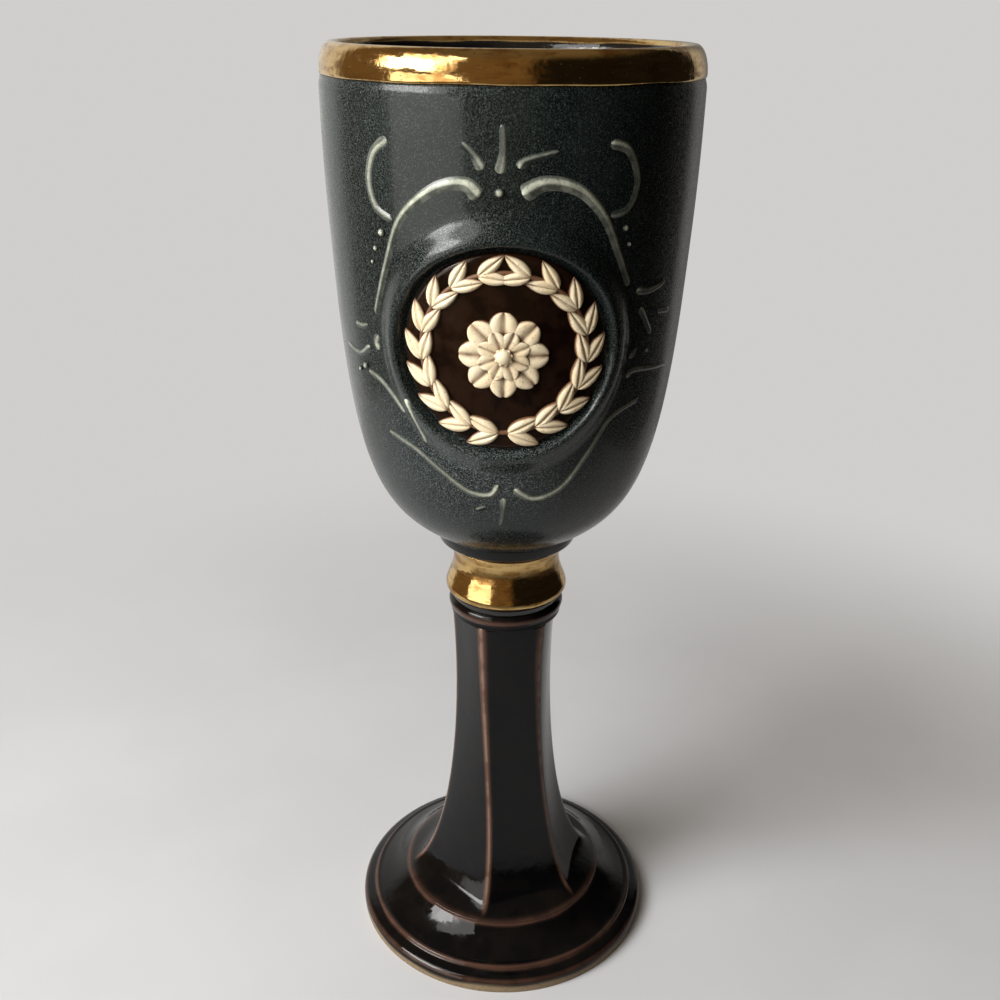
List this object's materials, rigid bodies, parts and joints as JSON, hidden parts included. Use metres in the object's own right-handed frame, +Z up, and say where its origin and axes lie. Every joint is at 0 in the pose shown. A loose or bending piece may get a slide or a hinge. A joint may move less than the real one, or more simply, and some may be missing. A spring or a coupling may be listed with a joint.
{
  "type": "ceramic chalice",
  "caption": "Tall stoneware goblet with a deep round cup, faceted hollow stem, wide foot, gold lustre lip and collar, and a round relief sprig framed by slip trailing.",
  "frame": {"origin": "middle of the foot's resting face, on the table", "axes": "+Z up along the chalice's axis; the sprig on the cup looks along -Y; +X is to the right seen from the front"},
  "size_m": [0.0826, 0.0839, 0.23],
  "materials": {
    "tenmoku_glaze": "gloss black-brown glaze that breaks to rust on its ridges",
    "teal_glaze": "satin-gloss dark teal glaze with a fine pale speckle",
    "gold_lustre": "bright gold lustre, a metal film fired on the glaze",
    "brown_glaze": "gloss dark brown glaze",
    "cream_clay": "matt cream clay with brown stain in its hollows",
    "pale_slip": "pale trailed slip under a thin glaze"
  },
  "bodies": {
    "root": {"foot": "tenmoku_glaze", "stem": "tenmoku_glaze", "stem_bead": "tenmoku_glaze", "gold_collar": "gold_lustre", "cup_foot_ring": "tenmoku_glaze", "cup": "teal_glaze", "gold_rim_band": "gold_lustre", "sprig_pad": "brown_glaze", "sprig_wreath": "cream_clay", "sprig_rosette": "cream_clay", "slip_ear_left": "pale_slip", "slip_ear_right": "pale_slip", "slip_scroll_left": "pale_slip", "slip_scroll_right": "pale_slip", "slip_flame_left": "pale_slip", "slip_flame_middle": "pale_slip", "slip_flame_right": "pale_slip", "slip_twig_right": "pale_slip", "slip_thorn_right": "pale_slip", "slip_tick_right": "pale_slip", "slip_tick_left": "pale_slip", "slip_curl_left": "pale_slip", "slip_leaf_left": "pale_slip", "slip_branch_left": "pale_slip", "slip_spray_left": "pale_slip", "slip_sweep_left": "pale_slip", "slip_sweep_right": "pale_slip", "slip_tail": "pale_slip", "slip_tick_low": "pale_slip", "slip_branch_right": "pale_slip", "slip_leaf_right": "pale_slip", "slip_dot_top": "pale_slip", "slip_dot_left_1": "pale_slip", "slip_dot_left_2": "pale_slip", "slip_dot_left_3": "pale_slip", "slip_dot_right_1": "pale_slip", "slip_dot_right_2": "pale_slip", "slip_dot_low_1": "pale_slip", "slip_dot_low_2": "pale_slip", "slip_dot_low_3": "pale_slip"}
  },
  "joints": []
}
